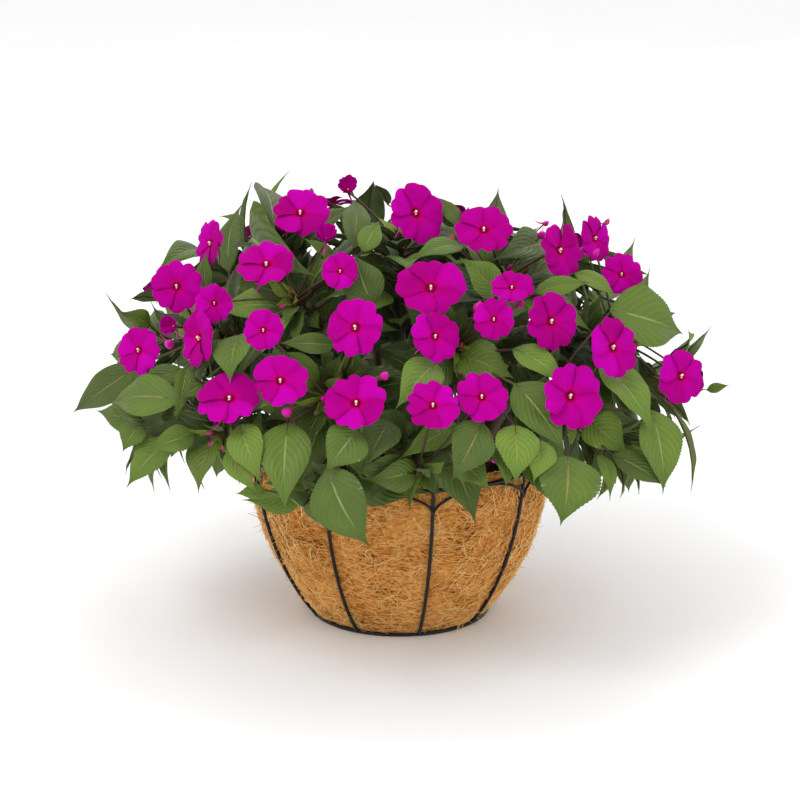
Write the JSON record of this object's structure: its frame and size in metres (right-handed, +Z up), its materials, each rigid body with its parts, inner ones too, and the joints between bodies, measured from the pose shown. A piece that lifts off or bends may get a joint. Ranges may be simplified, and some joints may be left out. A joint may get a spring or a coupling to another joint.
{
  "type": "potted new guinea impatiens",
  "caption": "Bushy New Guinea impatiens with magenta blooms and toothed leaves, planted in soil in a coir-lined wire basket that stands on its flat bottom.",
  "frame": {"origin": "on the basket's axis, on the flat bottom that the basket stands on", "axes": "+Z up along the basket's axis, -Y towards the side that the picture shows, +X to the right of that view"},
  "size_m": [0.6488, 0.6428, 0.4582],
  "materials": {
    "wire": "satin",
    "coir": "matte",
    "soil": "matte",
    "leaf": "satin",
    "petal": "matte"
  },
  "bodies": {
    "root": {"wire_frame": "wire", "coir_liner": "coir", "soil": "soil", "flower_spray_01": "petal", "flower_spray_03": "petal", "flower_spray_04": "petal", "flower_spray_05": "petal", "flower_spray_06": "petal", "flower_spray_08": "petal", "flower_spray_09": "petal", "flower_spray_10": "petal", "flower_spray_11": "petal", "flower_spray_12": "petal", "flower_spray_13": "petal", "flower_spray_14": "petal", "flower_spray_15": "petal", "flower_spray_17": "petal", "flower_spray_18": "petal", "flower_spray_19": "petal", "flower_spray_21": "petal", "flower_spray_22": "petal", "flower_spray_23": "petal", "flower_spray_26": "petal", "leafy_stem_01": "leaf", "leafy_stem_02": "leaf", "leafy_stem_03": "leaf", "leafy_stem_04": "leaf", "leafy_stem_05": "leaf", "leafy_stem_06": "leaf", "leafy_stem_07": "leaf", "leafy_stem_08": "leaf", "leafy_stem_09": "leaf", "leafy_stem_10": "leaf", "leafy_stem_11": "leaf", "leafy_stem_12": "leaf", "leafy_stem_13": "leaf", "leafy_stem_14": "leaf", "leafy_stem_15": "leaf", "leafy_stem_16": "leaf", "leafy_stem_17": "leaf", "leafy_stem_18": "leaf", "leafy_stem_19": "leaf", "leafy_stem_20": "leaf", "leafy_stem_21": "leaf", "leafy_stem_22": "leaf", "leafy_stem_23": "leaf", "leafy_stem_24": "leaf", "leafy_stem_25": "leaf", "leafy_stem_26": "leaf", "leafy_stem_27": "leaf"}
  },
  "joints": []
}
